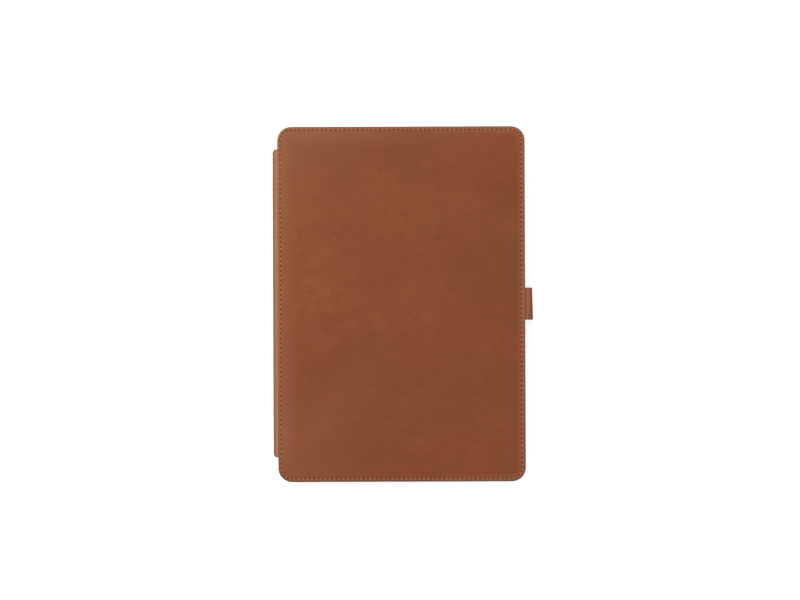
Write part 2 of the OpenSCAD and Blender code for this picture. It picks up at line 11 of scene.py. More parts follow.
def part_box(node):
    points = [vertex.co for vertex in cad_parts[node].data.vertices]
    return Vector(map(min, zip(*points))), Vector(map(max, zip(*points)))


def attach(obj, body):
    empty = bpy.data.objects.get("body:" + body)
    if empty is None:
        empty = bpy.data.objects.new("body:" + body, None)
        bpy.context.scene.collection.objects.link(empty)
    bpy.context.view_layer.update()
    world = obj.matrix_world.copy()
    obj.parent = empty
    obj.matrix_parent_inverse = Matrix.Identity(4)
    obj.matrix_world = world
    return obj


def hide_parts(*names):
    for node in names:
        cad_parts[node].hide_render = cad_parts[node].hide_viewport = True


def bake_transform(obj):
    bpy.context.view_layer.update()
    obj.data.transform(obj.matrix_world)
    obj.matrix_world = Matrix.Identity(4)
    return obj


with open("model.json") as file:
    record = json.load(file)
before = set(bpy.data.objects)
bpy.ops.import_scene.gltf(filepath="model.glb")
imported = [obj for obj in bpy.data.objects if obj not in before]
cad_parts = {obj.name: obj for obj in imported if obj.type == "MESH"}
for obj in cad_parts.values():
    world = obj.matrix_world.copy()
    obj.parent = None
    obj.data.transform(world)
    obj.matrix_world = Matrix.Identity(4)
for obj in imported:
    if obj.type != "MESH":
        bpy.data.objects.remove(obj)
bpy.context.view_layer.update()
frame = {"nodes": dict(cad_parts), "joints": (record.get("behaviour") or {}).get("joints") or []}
NODES = frame["nodes"]

bl_info = {
    "name": "Leather folio e-reader",
    "version": (1, 0, 0),
    "blender": (4, 5, 0),
    "location": "3D View > Sidebar > Folio",
    "description": "Finishes a leather folio and the e-reader inside it",
    "category": "Object",
}

MM = 0.001
RIGHT_ANGLE = math.pi / 2

# ---- Measures taken from the frame ----

COVER_LOW, COVER_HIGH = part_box("front_cover_leather")
COVER_SIZE = COVER_HIGH - COVER_LOW
BACK_LOW, BACK_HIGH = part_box("back_cover_leather")
SPINE_LOW, SPINE_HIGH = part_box("spine_leather")
FLANGE_LOW, FLANGE_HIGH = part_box("spine_front_flange")
TAB_LOW, TAB_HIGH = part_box("closure_tab")
ANCHOR_LOW, ANCHOR_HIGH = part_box("tab_anchor")
LINING_LOW, LINING_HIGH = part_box("front_cover_lining")
SCREEN_LOW, SCREEN_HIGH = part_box("epaper_display")
HINGES = {joint["name"]: joint for joint in frame["joints"]}
# The spine strip sits this much nearer the covers' top than their foot
SPINE_LIFT = 0.9 * MM
HALF_WIDTH = COVER_SIZE.x / 2
HALF_HEIGHT = COVER_SIZE.y / 2


# ---- Settings ----


def length(name, description, default):
    """A length that a user can change, in metres."""
    return bpy.props.FloatProperty(
        name=name, description=description, default=default, unit="LENGTH", precision=5
    )


def colour(name, description, default):
    """A colour that a user can change, as linear red, green and blue."""
    return bpy.props.FloatVectorProperty(
        name=name, description=description, default=default, subtype="COLOR", min=0, max=1
    )


class FolioSizes(bpy.types.PropertyGroup):
    corner: length("Cover corner", "Corner radius of the covers", 10 * MM)
    stitch_margin: length("Stitch margin", "From a cover's edge to its stitches", 2.4 * MM)
    stitch_shift: length("Stitch shift", "How far the seam sits off centre, to the spine", 0.25 * MM)
    pitch_long: length("Long pitch", "Stitch length down the long sides", 3.44 * MM)
    pitch_short: length("Short pitch", "Stitch length along the short sides", 3.18 * MM)
    thread: length("Thread", "Width of the sewing thread", 0.75 * MM)
    groove: length("Groove", "Depth of the groove under the stitches", 0.3 * MM)
    edge_wave: length("Edge wave", "Unevenness of the leather's turned edge", 0.07 * MM)
    spine_leather: length("Spine leather", "Thickness of the spine strip", 1.0 * MM)
    tab_corner: length("Tab corner", "Corner radius of the tab's free end", 3 * MM)


class FolioColours(bpy.types.PropertyGroup):
    tan: colour("Tan", "Main colour of the hide", (0.268, 0.067, 0.0215))
    gold: colour("Golden tan", "Yellower patches of the hide", (0.310, 0.088, 0.0255))
    # Also used for painted shade in the cover's sewing groove and a painted shadow in the tab's crease
    russet: colour("Russet", "Redder and darker patches of the hide", (0.242, 0.055, 0.0190))
    umber: colour("Umber", "Browner patches and fine wrinkles", (0.178, 0.051, 0.0160))
    # Partly the paler leather by the edge, partly a painted highlight there and on the tab's bend, and
    # painted light across the cover
    margin: colour("Margin", "Leather between the stitches and the edge", (0.335, 0.125, 0.058))
    # Dark edge colour: partly a real burnish, partly painted shade on rims and folds that turn away
    # from the light
    edge_burnish_and_shade: colour("Turned edge", "Burnished edge of the leather", (0.060, 0.028, 0.015))
    # Also used for painted light on the cover's shaded edge beside the tab
    spine: colour("Spine", "Lighter leather of the spine strip", (0.415, 0.165, 0.082))
    # Also used for painted light on the spine strip's inner side
    thread: colour("Thread", "Sewing thread", (0.500, 0.245, 0.120))
    # Painted shade: flat dark discs laid on the leather stand in for the shadow inside the needle
    # holes
    needle_hole_shade: colour("Needle hole", "Dark needle holes between the stitches", (0.022, 0.007, 0.003))
    lining: colour("Lining", "Microfibre lining", (0.105, 0.062, 0.040))


class ReaderColours(bpy.types.PropertyGroup):
    shell: colour("Shell", "Soft-touch plastic of the reader's body", (0.022, 0.023, 0.026))
    tray: colour("Tray", "Moulded plastic of the tray", (0.030, 0.023, 0.019))
    paper: colour("Paper", "White of the electronic paper", (0.66, 0.66, 0.61))
    ink: colour("Ink", "Black of the electronic paper", (0.022, 0.023, 0.025))


# ---- Materials ----


def math_method(operation):
    """A method of Value that makes one Math node."""
    return lambda value, *others: value.math(operation, *others)


class Value:
    """A socket whose arithmetic is written with Python's operators."""

    def __init__(self, finish, socket):
        self.finish = finish
        self.socket = socket

    def math(self, operation, *others):
        return self.finish.node("Math", dict(enumerate((self, *others))), operation=operation)

    def __rsub__(self, other):
        return self.finish.node("Math", {0: other, 1: self}, operation="SUBTRACT")

    __add__ = __radd__ = math_method("ADD")
    __sub__ = math_method("SUBTRACT")
    __mul__ = __rmul__ = math_method("MULTIPLY")
    __truediv__ = math_method("DIVIDE")
    __pow__ = math_method("POWER")
    __abs__ = math_method("ABSOLUTE")
    __gt__ = math_method("GREATER_THAN")
    least = math_method("MINIMUM")
    most = math_method("MAXIMUM")

    def step(self, low, high, start=0.0, end=1.0):
        """Smooth step from start at low to end at high."""
        inputs = {"Value": self, "From Min": low, "From Max": high, "To Min": start, "To Max": end}
        return self.finish.node("MapRange", inputs, interpolation_type="SMOOTHSTEP")


def toned(tint, factor):
    """A colour made lighter or darker."""
    return tuple(min(1.0, factor * part) for part in tint)


class Finish:
    """A procedural material under construction."""

    def __init__(self, name, specular=0.5, **constants):
        self.material = bpy.data.materials.new(name)
        self.material.use_nodes = True
        self.tree = self.material.node_tree
        self.tree.nodes.clear()
        output = self.tree.nodes.new("ShaderNodeOutputMaterial")
        self.shader = self.tree.nodes.new("ShaderNodeBsdfPrincipled")
        self.tree.links.new(self.shader.outputs[0], output.inputs["Surface"])
        self.set(Specular_IOR_Level=specular, **constants)
        self.place = self.node("TexCoord", {}, "Object")

    def give(self, socket, value):
        """Links a socket or sets its value; a colour of three numbers gets a full alpha."""
        if isinstance(value, Value):
            self.tree.links.new(value.socket, socket)
        elif socket.type == "RGBA" and len(value) == 3:
            socket.default_value = (*value, 1)
        else:
            socket.default_value = value

    def node(self, kind, inputs, output=0, **settings):
        node = self.tree.nodes.new("ShaderNode" + kind)
        for name, value in settings.items():
            setattr(node, name, value)
        for key, value in inputs.items():
            self.give(node.inputs[key], value)
        return Value(self, node.outputs[output])

    def set(self, **inputs):
        for socket, value in inputs.items():
            self.give(self.shader.inputs[socket.replace("_", " ")], value)

    def done(self, tone, rough, relief=None):
        """Gives the material, once its colour, roughness and relief are set."""
        self.set(Base_Color=tone, Roughness=rough)
        if relief is not None:
            self.set(Normal=relief)
        return self.material

    def axes(self):
        return [self.node("SeparateXYZ", {0: self.place}, i) for i in range(3)]

    def stretched(self, scale, turn=0.0):
        """Object coordinates turned about Z and then scaled along each axis."""
        turned = self.node("Mapping", {"Vector": self.place, "Rotation": (0, 0, turn)})
        return self.node("Mapping", {"Vector": turned, "Scale": scale})

    def noise(self, scale, detail=2.0, roughness=0.5, place=None, distortion=0.0):
        inputs = {"Vector": place or self.place, "Scale": scale, "Detail": detail}
        inputs.update(Roughness=roughness, Distortion=distortion)
        return self.node("TexNoise", inputs)

    def cells(self, scale, feature="F1"):
        return self.node("TexVoronoi", {"Vector": self.place, "Scale": scale}, feature=feature)

    def mix(self, factor, first, second):
        """Blends two colours; sockets 0, 6, 7 and output 2 are the Mix node's colour ones."""
        return self.node("Mix", {0: factor, 6: first, 7: second}, 2, data_type="RGBA")

    def coated(self, tone, *coats):
        """Lays coats over a colour, each given as (how much, colour)."""
        for factor, tint in coats:
            tone = self.mix(factor, tone, tint)
        return tone

    def bump(self, height, strength, depth, normal=None):
        """A relief from a height, with its depth in millimetres."""
        inputs = {"Height": height, "Strength": strength, "Distance": depth * MM}
        if normal is not None:
            inputs["Normal"] = normal
        return self.node("Bump", inputs)


def leather_relief(finish, grain=1.0):
    """Pores, fine creases and a soft unevenness, as a normal."""
    pores = finish.cells(1500, "DISTANCE_TO_EDGE").step(0.0, 0.16)
    fine = finish.noise(2600, 3, 0.6)
    soft = finish.noise(160, 3, 0.55)
    shallow = finish.bump(soft, 0.25 * grain, 0.6)
    creased = finish.bump(pores, 0.10 * grain, 0.12, shallow)
    return finish.bump(fine, 0.16 * grain, 0.1, creased)


def leather_tone(finish, colours):
    """Cloudy golden and russet patches, long soft streaks and fine wrinkles across the hide."""
    tilt = math.radians(-12)
    cloud = finish.noise(13, 4, 0.55, distortion=0.8).step(0.40, 0.66)
    streak = finish.noise(42, 5, 0.6, finish.stretched((0.35, 1.0, 1.0), tilt), 0.6).step(0.36, 0.68)
    patch = finish.noise(20, 3, 0.5, finish.stretched((1.0, 0.6, 1.0), 1.0)).step(0.44, 0.66)
    crease = finish.noise(330, 4, 0.7, finish.stretched((0.30, 1.0, 1.0), tilt)).step(0.44, 0.66)
    mottle = finish.noise(150, 5, 0.7)
    fleck = finish.noise(760, 3, 0.6).step(0.44, 0.64)
    tone = finish.coated(
        colours.tan,
        (cloud * 0.75, colours.gold),
        (streak * 0.45, colours.russet),
        (patch * 0.30, colours.umber),
        (mottle.step(0.38, 0.64) * 0.30, colours.umber),
        (crease * 0.18, colours.umber),
        (fleck * 0.32, colours.umber),
    )
    return tone, cloud, mottle


def edge_distance(finish, corner, shift=0.0):
    """Distance in from a cover's rounded outline, in metres, moved to -X by the shift."""
    x, y, _ = finish.axes()
    across = abs(x + shift) - (HALF_WIDTH - corner)
    along = abs(y) - (HALF_HEIGHT - corner)
    reach = (across.most(0) ** 2 + along.most(0) ** 2).math("SQRT")
    return corner - reach - across.most(along).least(0)


def cover_leather(colours, sizes):
    """Smooth vegetable-tanned leather: a lighter band by the sewn edge, partly paler leather and
    partly painted highlight; a dark rim, partly burnish and partly painted shade; and painted light
    and shade by the tab, in the groove, along the bottom and towards the top and left.
    """
    finish = Finish("cover_leather", 0.22)
    tone, cloud, mottle = leather_tone(finish, colours)
    x, y, z = finish.axes()
    inward = edge_distance(finish, sizes.corner)
    seam_inward = edge_distance(finish, sizes.corner, sizes.stitch_shift)
    ripple = (finish.noise(420, 2) - 0.5) * (0.9 * MM)
    # Lighter band between the stitches and the edge: partly paler leather, partly a painted highlight
    # on the rolled edge
    margin = (inward + ripple).step(3.4 * MM, 1.6 * MM)
    # Painted shade in the sewing groove, laid in the russet colour
    seam = abs(seam_inward - sizes.stitch_margin).step(1.0 * MM, 0.3 * MM)
    # Dark rim: partly a real burnish, partly painted shade where the edge turns away from the light
    edge = (inward + ripple * 0.3).step(0.7 * MM, 0.2 * MM)
    # Painted light, falling from the top left: lighter over the left side away from its middle, and
    # along the top
    corners = x.step(0.0, -HALF_WIDTH) * abs(y).step(30 * MM, 120 * MM)
    painted_light = corners + y.step(90 * MM, 130 * MM) * 0.5
    # Beside the spine strip and the tab the painted edge shade is lessened, and beside the tab painted
    # light lifts the cover's shaded right edge
    side_start, side_end = HALF_WIDTH - 8.5 * MM, HALF_WIDTH - 3.5 * MM
    beside_tab = abs(y).step(TAB_HIGH.y + 0.8 * MM, TAB_HIGH.y - 0.4 * MM)
    at_tab = x.step(side_start, side_end) * beside_tab * (z > COVER_HIGH.z / 2)
    at_strip = x.step(-side_start, -side_end).most(at_tab)
    border = inward.step(16 * MM, 4 * MM) * x.step(HALF_WIDTH, -HALF_WIDTH)
    border = border * y.step(-HALF_HEIGHT, -0.7 * HALF_HEIGHT)
    # Painted light inside the seam on the right, where the slope falls in shade
    halo = inward.step(6.5 * MM, 2.6 * MM) * x.step(0.0, HALF_WIDTH)
    # Painted shade along the bottom edge
    lower = y.step(0.0, -HALF_HEIGHT) * inward.step(1.5 * MM, 0.9 * MM)
    tone = finish.coated(
        tone,
        # Painted light towards the left and top and inside the right seam, with a lighter band inside
        # the edges that grows towards the left
        (painted_light * 0.22 + border * 0.28 + halo * 0.45, colours.margin),
        (margin * 0.55, colours.margin),
        (lower * 0.42, colours.edge_burnish_and_shade),
        (seam * 0.2, colours.russet),
        (edge * (0.85 - 0.75 * at_strip), colours.edge_burnish_and_shade),
        # Painted light on the cover's shaded edge beside the tab
        (at_tab * inward.step(1.4 * MM, 0.4 * MM) * 0.9, colours.spine),
    )
    rough = 0.52 + (mottle - 0.5) * 0.22 + cloud * 0.05
    return finish.done(tone, rough, leather_relief(finish))


def spine_leather(colours):
    """The same hide on the spine strip in a lighter tone, with painted shade along its outer fold,
    painted light on its inner side by the cover, and darker ends.
    """
    finish = Finish("spine_leather", 0.22)
    stretch = finish.noise(60, 4, 0.6, finish.stretched((1.0, 0.25, 1.0))).step(0.3, 0.7)
    mottle = finish.noise(320, 3, 0.6)
    x, y, _ = finish.axes()
    # Painted shade along the strip's outer fold, where it turns away from the light
    out = x.step(SPINE_LOW.x + 2.2 * MM, SPINE_LOW.x + 1.0 * MM)
    # Painted light on the strip's inner side, where the cover's edge shades it
    fold = x.step(SPINE_LOW.x + 2.2 * MM, SPINE_LOW.x + 3.4 * MM)
    end = abs(y - SPINE_LIFT).step(SPINE_HIGH.y - 1.1 * MM, SPINE_HIGH.y - 0.4 * MM)
    tone = finish.coated(
        colours.spine,
        (stretch * 0.45, colours.margin),
        (mottle.step(0.4, 0.7) * 0.35, colours.tan),
        # A lighter tone over the whole strip, plus painted light on its inner side, in the thread
        # colour
        (0.15 + fold * 0.55, colours.thread),
        (out * 0.46, colours.edge_burnish_and_shade),
        (end * 0.7, colours.edge_burnish_and_shade),
    )
    return finish.done(tone, 0.48 + (mottle - 0.5) * 0.2, leather_relief(finish, 1.2))


def tab_leather(colours):
    """Leather of the closure tab: a painted highlight on its bend, painted shade in its crease and
    where it turns down, and burnished along its cut edges.
    """
    finish = Finish("tab_leather", 0.22)
    tone, _, mottle = leather_tone(finish, colours)
    x, y, z = finish.axes()
    # Painted shadow of the cover's edge in the crease beside it
    crease = x.step(COVER_HIGH.x + 1.2 * MM, COVER_HIGH.x + 0.3 * MM)
    # Painted highlight on the top of the bend, which faces the light
    bend = abs(x - (COVER_HIGH.x + 2.0 * MM)).step(2.2 * MM, 0.2 * MM)
    # Painted shade where the flap turns down, away from the light
    fold = x.step(TAB_HIGH.x - 1.5 * MM, TAB_HIGH.x - 0.6 * MM) * (z > TAB_HIGH.z - 2.6 * MM)
    cut = abs(y).step(TAB_HIGH.y - 0.9 * MM, TAB_HIGH.y - 0.1 * MM)
    low = z.step(TAB_LOW.z + 0.7 * MM, TAB_LOW.z + 0.1 * MM)
    tone = finish.coated(
        tone,
        (0.35 + bend * 0.6, colours.margin),
        (crease * 0.2, colours.russet),
        (fold * 0.45, colours.edge_burnish_and_shade),
        (cut.most(low) * 0.65, colours.edge_burnish_and_shade),
    )
    return finish.done(tone, 0.50 + (mottle - 0.5) * 0.2, leather_relief(finish, 1.1))


def thread_fibre(colours):
    """Waxed two-ply thread."""
    finish = Finish("thread", 0.3)
    inputs = {"Vector": finish.place, "Scale": 900, "Distortion": 1.5, "Detail": 1}
    twist = finish.node("TexWave", inputs, wave_type="BANDS", bands_direction="DIAGONAL")
    worn = finish.noise(500, 2).step(0.35, 0.7)
    coats = (worn * 0.5, colours.margin), (twist * 0.25, colours.tan)
    tone = finish.coated(colours.thread, *coats)
    return finish.done(tone, 0.55 + worn * 0.15, finish.bump(twist, 0.5, 0.08))


def needle_shadow(colours):
    """Painted shade of a needle hole, laid on a flat disc over the leather."""
    finish = Finish("needle_hole_shade", 0.1)
    grain = finish.noise(3000, 2)
    tone = finish.mix(grain * 0.6, colours.needle_hole_shade, colours.russet)
    return finish.done(tone, 0.85 + grain * 0.1)


def microfibre(colours):
    """Short-napped microfibre with brushed lighter and darker strokes."""
    finish = Finish("microfibre", 0.2, Sheen_Weight=0.25, Sheen_Roughness=0.5)
    stroke = finish.noise(55, 5, 0.6, finish.stretched((1.0, 0.35, 1.0)), 0.5).step(0.36, 0.66)
    nap = finish.noise(5200, 3, 0.7)
    base = tuple(colours.lining)
    shade = nap.step(0.35, 0.75) * 0.35
    tone = finish.coated(base, (stroke * 0.32, toned(base, 1.55)), (shade, toned(base, 0.6)))
    return finish.done(tone, 0.9 + nap * 0.06, finish.bump(nap, 0.6, 0.1))


def moulded(name, base, roughness, grain=2400, strength=0.22):
    """Moulded plastic with a fine spark-eroded texture."""
    finish = Finish(name, 0.45)
    texture = finish.noise(grain, 3, 0.6)
    handling = finish.noise(40, 3, 0.5).step(0.35, 0.7)
    worn = tuple(part + 0.004 for part in toned(base, 1.5))
    tone = finish.coated(base, (handling * 0.3, worn), (texture * 0.2, toned(base, 0.6)))
    rough = roughness + handling * 0.08 + (texture - 0.5) * 0.1
    return finish.done(tone, rough, finish.bump(texture, strength, 0.05))


def brushed(name, base, roughness=0.3):
    """Sheet metal with rolling marks and faint handling stains."""
    finish = Finish(name, Metallic=1.0)
    marks = finish.noise(3800, 3, 0.6, finish.stretched((1.0, 0.02, 1.0)))
    stain = finish.noise(90, 4, 0.6).step(0.35, 0.7)
    tone = finish.coated(base, (marks * 0.3, toned(base, 0.7)), (stain * 0.2, toned(base, 0.8)))
    rough = roughness + marks * 0.15 + stain * 0.08
    return finish.done(tone, rough, finish.bump(marks, 0.12, 0.03))


def bookboard():
    """Dyed pressed board with long fibres."""
    finish = Finish("bookboard", 0.2)
    fibre = finish.noise(700, 4, 0.7, finish.stretched((1.0, 0.2, 1.0)))
    fleck = finish.noise(1500, 2).step(0.6, 0.75)
    tone = finish.mix(fibre, (0.050, 0.030, 0.019), (0.095, 0.058, 0.037))
    tone = finish.mix(fleck * 0.4, tone, (0.030, 0.019, 0.012))
    return finish.done(tone, 0.85 + fibre * 0.1, finish.bump(fibre, 0.4, 0.1))


def foam():
    """Black closed-cell foam."""
    finish = Finish("gasket_foam", 0.15)
    cell = finish.cells(2600)
    tone = finish.mix(cell, (0.012, 0.012, 0.013), (0.035, 0.035, 0.036))
    return finish.done(tone, 0.85 + cell * 0.1, finish.bump(cell, 0.5, 0.1))


def clear_sheet(name, alpha, roughness):
    """Clear sheet whose etched face breaks up reflections."""
    tint = (0.9, 0.92, 0.92)
    finish = Finish(name, 0.35, IOR=1.49, Alpha=alpha)
    etch = finish.noise(6000, 2)
    smear = finish.noise(30, 3).step(0.4, 0.7)
    tone = finish.mix(smear * 0.3, tint, toned(tint, 0.92))
    rough = roughness + smear * 0.05 + (etch - 0.5) * 0.04
    return finish.done(tone, rough, finish.bump(etch, 0.08, 0.02))


def circuit_board():
    """Green solder mask over copper tracks, with gold pads and drilled vias."""
    finish = Finish("circuit_board", 0.5)
    x, y, _ = finish.axes()
    wander = finish.noise(120, 1) * 6
    across = (x * 900 + wander).math("SINE").step(0.55, 0.75)
    along = (y * 900 + wander).math("SINE").step(0.55, 0.75)
    zone = finish.cells(90) > 0.42
    track = across * zone + along * (1 - zone)
    pad = finish.cells(420).step(0.16, 0.12)
    via = finish.cells(800).step(0.10, 0.07)
    tone = finish.mix(track * 0.6, (0.006, 0.075, 0.030), (0.020, 0.16, 0.060))
    tone = finish.mix(pad * 0.8, tone, (0.60, 0.42, 0.14))
    tone = finish.mix(via * 0.7, tone, (0.55, 0.55, 0.52))
    finish.set(Metallic=pad * 0.7)
    return finish.done(tone, 0.35 + track * 0.1, finish.bump(track + pad, 0.25, 0.04))


def chip_epoxy():
    """Black moulding compound of a chip, partly polished."""
    finish = Finish("chip_epoxy", 0.4)
    grain = finish.noise(4200, 3, 0.65)
    polish = finish.noise(160, 2).step(0.4, 0.7)
    tone = finish.mix(grain, (0.011, 0.011, 0.012), (0.030, 0.030, 0.031))
    return finish.done(tone, 0.42 + polish * 0.15, finish.bump(grain, 0.25, 0.04))


def battery_foil():
    """Laminated foil pouch, soft-edged and faintly wrinkled."""
    finish = Finish("battery_foil", Metallic=0.85)
    wrinkle = finish.noise(110, 4, 0.6, finish.stretched((1.0, 0.4, 1.0)))
    matt = finish.noise(2200, 2)
    tone = finish.mix(wrinkle, (0.46, 0.47, 0.48), (0.66, 0.67, 0.68))
    return finish.done(tone, 0.32 + matt * 0.12, finish.bump(wrinkle, 0.4, 0.3))


def flex_film():
    """Amber film with fine copper conductors under it."""
    finish = Finish("flex_film", 0.5)
    x, _, _ = finish.axes()
    lines = (x * 5200).math("SINE").step(0.1, 0.4)
    tint = finish.noise(70, 2)
    tone = finish.mix(lines * 0.7, (0.36, 0.13, 0.018), (0.52, 0.22, 0.05))
    tone = finish.mix(tint * 0.3, tone, (0.24, 0.08, 0.012))
    return finish.done(tone, 0.28 + tint * 0.1, finish.bump(lines, 0.2, 0.03))


def light_strip():
    """White film strip with a row of yellow phosphor windows."""
    finish = Finish("light_strip", 0.4)
    x, _, _ = finish.axes()
    window = (x * 785).math("SINE").step(0.86, 0.93)
    dust = finish.noise(900, 2)
    tone = finish.mix(window, (0.72, 0.71, 0.66), (0.80, 0.62, 0.10))
    tone = finish.mix(dust * 0.2, tone, (0.45, 0.44, 0.40))
    return finish.done(tone, 0.4 + dust * 0.15)


def sleep_picture(colours):
    """Electronic paper at rest: a moon over misty ranges of hills, in greys."""
    finish = Finish("paper_display", 0.2)
    x, y, _ = finish.axes()
    centre = (SCREEN_LOW + SCREEN_HIGH) / 2
    size = SCREEN_HIGH - SCREEN_LOW
    across = (x - centre.x) / size.x
    up = (y - SCREEN_LOW.y) / size.y
    fibre = finish.noise(3400, 2)
    grey = up.step(0.25, 1.0, 0.80, 0.42)
    moon_x, moon_y, moon_r = 0.17, 0.74, 0.115
    from_moon = ((across - moon_x) ** 2 + ((up - moon_y) * (size.y / size.x)) ** 2).math("SQRT")
    seas = finish.noise(75, 3, 0.55).step(0.45, 0.65)
    disc = from_moon.step(moon_r, moon_r - 0.004)
    halo = from_moon.step(0.34, moon_r) * 0.16
    grey = (grey + halo) * (1 - disc) + (0.97 - seas * 0.13) * disc
    ranges = ((0.46, 0.20, 2.6, 1.7, 0.62), (0.36, 0.24, 3.4, 5.2, 0.46))
    ranges += ((0.25, 0.26, 2.2, 9.1, 0.28), (0.13, 0.22, 3.0, 13.4, 0.10))
    for low, rise, waves, seed, shade in ranges:
        place = finish.node("CombineXYZ", {0: across * waves, 1: seed})
        depth = low + (finish.noise(1.0, 4, 0.45, place) - 0.5) * rise - up
        inside = depth.step(-0.001, 0.002)
        mist = depth.step(0.0, 0.26) * 0.20
        grey = grey * (1 - inside) + (shade + mist) * inside
    grey = grey + (fibre - 0.5) * 0.05
    tone = finish.mix(grey, colours.ink, colours.paper)
    return finish.done(tone, 0.72 + fibre * 0.1)


# ---- Mesh helpers ----


def mesh_of(name, bm):
    """Turns a bmesh into a mesh and frees it."""
    mesh = bpy.data.meshes.new(name)
    bm.to_mesh(mesh)
    bm.free()
    return mesh


def add_object(name, data):
    item = bpy.data.objects.new(name, data)
    bpy.context.scene.collection.objects.link(item)
    return item


def finish_piece(name, bm, body, material, replaced=(), sharp=50):
    """Makes the bmesh an object that rides on a body and stands for CAD nodes."""
    bm.normal_update()
    mesh = mesh_of(name, bm)
    mesh.materials.append(material)
    mesh.polygons.foreach_set("use_smooth", [True] * len(mesh.polygons))
    mesh.set_sharp_from_angle(angle=math.radians(sharp))
    piece = add_object(name, mesh)
    if body:
        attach(piece, body)
    if replaced:
        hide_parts(*replaced)
    return piece


def paint(material, *names):
    """Gives CAD nodes a finish and leaves their meshes alone."""
    for name in names:
        for slot in NODES[name].material_slots:
            slot.material = material


def cover_outline(bm, level, radius):
    """A cover's outline as one flat face, with round corners and evenly divided sides."""
    corner_steps, side_step = 20, 3 * MM
    place = Matrix.Translation((0, 0, level)) @ Matrix.Diagonal((COVER_SIZE.x, COVER_SIZE.y, 1, 1))
    bmesh.ops.create_grid(bm, x_segments=1, y_segments=1, size=0.5, matrix=place)
    bmesh.ops.bevel(
        bm, geom=bm.verts[:], offset=radius, offset_type="OFFSET", segments=corner_steps,
        profile=0.5, affect="VERTICES", material=-1, clamp_overlap=True,
    )
    for edge in bm.edges[:]:
        if edge.calc_length() > 2 * side_step:
            cuts = round(edge.calc_length() / side_step) - 1
            bmesh.ops.subdivide_edges(bm, edges=[edge], cuts=cuts)
    bm.faces.ensure_lookup_table()
    return bm.faces[0]


def terrace(bm, face, height, profile, up=1):
    """Insets a face step by step from a height, along (distance in, height) pairs."""
    inward = 0
    for next_inward, next_height in profile:
        bmesh.ops.inset_region(
            bm, faces=[face], thickness=next_inward - inward, depth=(next_height - height) * up,
            use_even_offset=True, use_boundary=True,
        )
        inward, height = next_inward, next_height


def divide_field(bm, face):
    """Cuts a cover's flat face into cells, so that it can be given a slight unevenness."""
    step = 6 * MM
    geometry = [face] + face.edges[:] + face.verts[:]
    for axis, reach in ((Vector((1, 0, 0)), HALF_WIDTH), (Vector((0, 1, 0)), HALF_HEIGHT)):
        count = int(reach / step)
        for i in range(-count, count + 1):
            geometry = bmesh.ops.bisect_plane(
                bm, geom=geometry, plane_co=axis * (i * step), plane_no=axis, dist=0.001 * MM,
            )["geom"]


def softened(node, width, segments=2, wide=None):
    """A copy of a CAD node with its sharp edges rounded; wide is (test, width) for some edges."""
    bm = bmesh.new()
    bm.from_mesh(NODES[node].data)
    bmesh.ops.remove_doubles(bm, verts=bm.verts, dist=0.002 * MM)
    bmesh.ops.dissolve_limit(bm, angle_limit=math.radians(0.5), verts=bm.verts, edges=bm.edges)

    def sharp_edges():
        limit = math.radians(30)
        return [e for e in bm.edges if e.is_manifold and e.calc_face_angle() > limit]

    def bevel(edges, offset, steps):
        bmesh.ops.bevel(
            bm, geom=edges, offset=offset, offset_type="OFFSET", segments=steps, profile=0.5,
            affect="EDGES", material=-1, clamp_overlap=True,
        )

    if wide:
        test, wide_width = wide
        bevel([e for e in sharp_edges() if test(e)], wide_width, 5)
    bevel(sharp_edges(), width, segments)
    return bm


def mould(name, node, body, plastic, width, segments=2, wide=None, sharp=40):
    """A moulded piece whose large flat faces look flat beside their small round edges."""
    bm = softened(node, width, segments, wide)
    piece = finish_piece(name, bm, body, plastic, (node,), sharp)
    piece.modifiers.new("even_normals", "WEIGHTED_NORMAL").keep_sharp = True


def of_kind(items, kind):
    return [item for item in items if isinstance(item, kind)]


def sweep(bm, low, high, moves):
    """Sweeps the edge between two points in the XZ plane along straight runs and turns."""
    ends = [bm.verts.new(low), bm.verts.new(high)]
    geometry = ends + [bm.edges.new(ends)]
    for kind, *move in moves:
        if kind == "run":
            reach, steps = move
            for _ in range(steps):
                edges = of_kind(geometry, bmesh.types.BMEdge)
                result = bmesh.ops.extrude_edge_only(bm, edges=edges)["geom"]
                fresh = of_kind(result, bmesh.types.BMVert)
                bmesh.ops.translate(bm, verts=fresh, vec=Vector(reach) / steps)
                edges = of_kind(result, bmesh.types.BMEdge)
                geometry = fresh + [e for e in edges if all(v in fresh for v in e.verts)]
        else:
            centre, angle, steps = move
            geometry = bmesh.ops.spin(
                bm, geom=geometry, cent=centre, axis=(0, 1, 0), angle=angle, steps=steps,
                dvec=(0, 0, 0),
            )["geom_last"]


def widen(bm, width, rows):
    """Extrudes a flat section in XZ to a solid centred on Y = 0, divided into rows along Y."""
    bmesh.ops.remove_doubles(bm, verts=bm.verts, dist=0.001 * MM)
    bmesh.ops.translate(bm, verts=bm.verts, vec=(0, -width / 2, 0))
    extruded = bmesh.ops.extrude_face_region(bm, geom=bm.faces[:])["geom"]
    fresh = of_kind(extruded, bmesh.types.BMVert)
    bmesh.ops.translate(bm, verts=fresh, vec=(0, width, 0))
    long_edges = [e for e in bm.edges if abs(e.verts[0].co.y - e.verts[1].co.y) > width / 2]
    bmesh.ops.subdivide_edges(bm, edges=long_edges, cuts=rows - 1, use_grid_fill=True)
    bmesh.ops.recalc_face_normals(bm, faces=bm.faces)


def quarter(distance, radius):
    """How far a quarter-round corner has fallen back at a distance from its start."""
    inside = min(max(distance, 0.0), radius)
    return radius - math.sqrt(radius**2 - inside**2)


# ---- Stitching ----


def unit_vector(angle):
    return Vector((math.cos(angle), math.sin(angle)))


